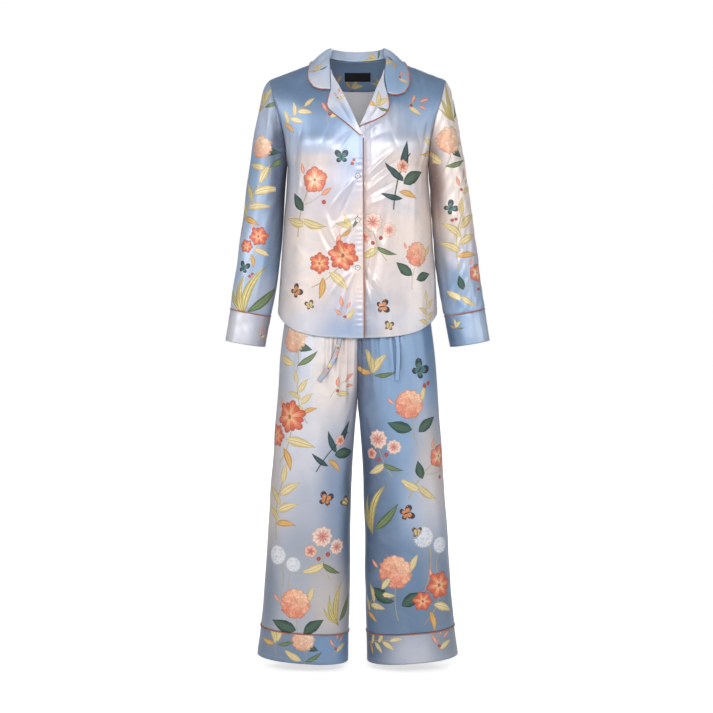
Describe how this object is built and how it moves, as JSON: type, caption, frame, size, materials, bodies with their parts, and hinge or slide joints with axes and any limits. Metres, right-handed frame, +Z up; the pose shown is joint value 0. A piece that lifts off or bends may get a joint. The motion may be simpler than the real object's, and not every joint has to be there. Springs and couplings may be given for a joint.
{
  "type": "satin pyjama set, a notched-collar jacket and wide-leg trousers",
  "caption": "Satin pyjama set filled out as worn: a long-sleeved button-front jacket with a notched collar and piped edges, over wide straight trousers with hem bands.",
  "frame": {"origin": "between the wearer's shoulders at the height of the neck seam, where the wearer holds the jacket up", "axes": "+Z up, -Y towards the front, +X towards the wearer's left"},
  "size_m": [0.6092, 0.241, 1.4186],
  "materials": {
    "satin_blue": "satin",
    "satin_pale": "satin",
    "piping_rust": "satin",
    "button_pearl": "gloss",
    "label_black": "matte"
  },
  "bodies": {
    "root": {"back": "satin_blue", "back_neck_facing": "satin_blue", "button_1": "button_pearl", "button_2": "button_pearl", "button_3": "button_pearl", "collar": "satin_blue", "cuff_left": "satin_pale", "cuff_right": "satin_pale", "drawstring_end_left": "satin_blue", "drawstring_end_right": "satin_blue", "front_left": "satin_pale", "front_right": "satin_pale", "hem_band_left": "satin_blue", "hem_band_right": "satin_blue", "lapel_left": "satin_pale", "lapel_right": "satin_pale", "neck_label": "label_black", "piping_collar": "piping_rust", "piping_cuff_left": "piping_rust", "piping_cuff_right": "piping_rust", "piping_front_edge": "piping_rust", "piping_hem_left": "piping_rust", "piping_hem_right": "piping_rust", "piping_lapel_left": "piping_rust", "piping_lapel_right": "piping_rust", "sleeve_left": "satin_blue", "sleeve_right": "satin_blue", "trouser_back_left": "satin_blue", "trouser_back_right": "satin_blue", "trouser_front_left": "satin_blue", "trouser_front_right": "satin_blue", "waistband": "satin_blue"}
  },
  "joints": []
}
